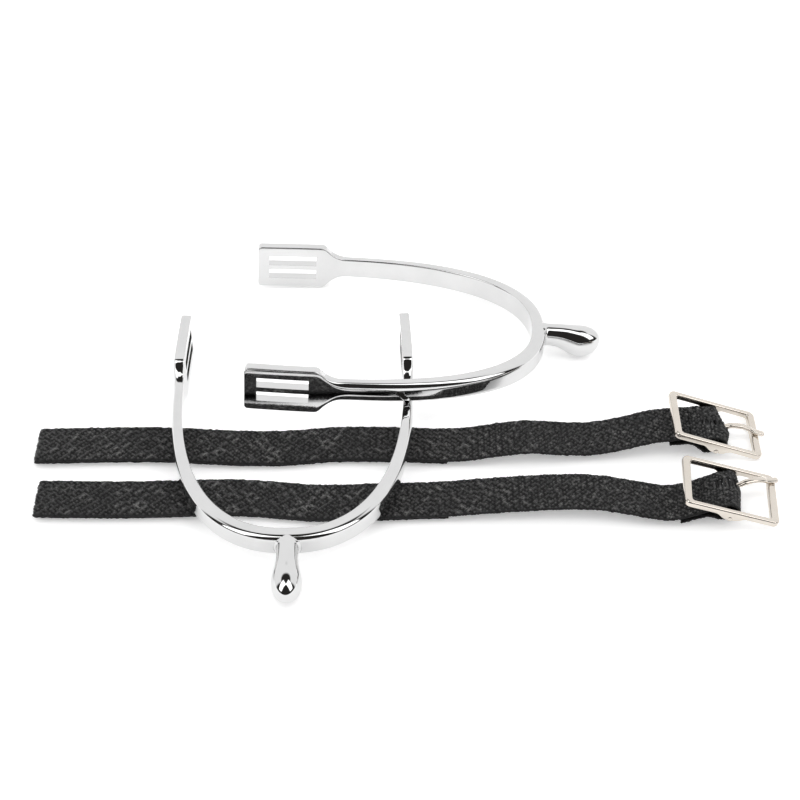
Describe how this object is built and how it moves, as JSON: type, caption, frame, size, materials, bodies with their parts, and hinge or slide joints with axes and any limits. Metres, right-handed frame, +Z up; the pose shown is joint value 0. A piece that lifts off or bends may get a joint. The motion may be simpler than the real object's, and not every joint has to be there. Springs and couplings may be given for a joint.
{
  "type": "spurs",
  "caption": "Pair of round-knob U-shaped riding spurs with slotted arm plates, laid out with two braided webbing straps that close with small tongue buckles.",
  "frame": {"origin": "middle of the laid-out set's footprint, on the surface it lies on", "axes": "+X along the straps towards the buckles, +Y from the lower spur's heel towards its toe side, +Z up"},
  "size_m": [0.2518, 0.1649, 0.028],
  "materials": {
    "chrome": "mirror polished plate",
    "nickel": "polished warm nickel plate",
    "webbing": "flat-braided nylon",
    "thread": "sewing thread"
  },
  "bodies": {
    "lower_spur": {"lower_yoke": "chrome", "lower_neck": "chrome"},
    "upper_spur": {"upper_yoke": "chrome", "upper_neck": "chrome"},
    "first_strap": {"first_webbing": "webbing", "first_stitching": "thread"},
    "first_buckle": {"first_frame": "nickel", "first_bar": "nickel"},
    "first_tongue_pin": {"first_tongue": "nickel"},
    "second_strap": {"second_webbing": "webbing", "second_stitching": "thread"},
    "second_buckle": {"second_frame": "nickel", "second_bar": "nickel"},
    "second_tongue_pin": {"second_tongue": "nickel"}
  },
  "joints": [
    {"name": "upper_spur_lift", "type": "slide", "parent": "lower_spur", "child": "upper_spur", "axis": [0, 0, 1], "range_m": [0, 0.12]},
    {"name": "first_strap_slide", "type": "slide", "parent": "lower_spur", "child": "first_strap", "axis": [1, 0, 0], "range_m": [0, 0.14]},
    {"name": "second_strap_slide", "type": "slide", "parent": "lower_spur", "child": "second_strap", "axis": [1, 0, 0], "range_m": [0, 0.14]},
    {"name": "first_frame_tilt", "type": "hinge", "parent": "first_strap", "child": "first_buckle", "pos_m": [0.107, -0.0042, 0.00475], "axis": [0, -1, 0], "range_deg": [0, 5]},
    {"name": "first_tongue_lift", "type": "hinge", "parent": "first_buckle", "child": "first_tongue_pin", "pos_m": [0.107, -0.0042, 0.00475], "axis": [0, -1, 0], "range_deg": [0, 110]},
    {"name": "second_frame_tilt", "type": "hinge", "parent": "second_strap", "child": "second_buckle", "pos_m": [0.1079, -0.0365, 0.0059], "axis": [-0.0698, -0.9976, 0], "range_deg": [0, 9]},
    {"name": "second_tongue_lift", "type": "hinge", "parent": "second_buckle", "child": "second_tongue_pin", "pos_m": [0.1079, -0.0365, 0.0059], "axis": [-0.0698, -0.9976, 0], "range_deg": [0, 110]}
  ]
}
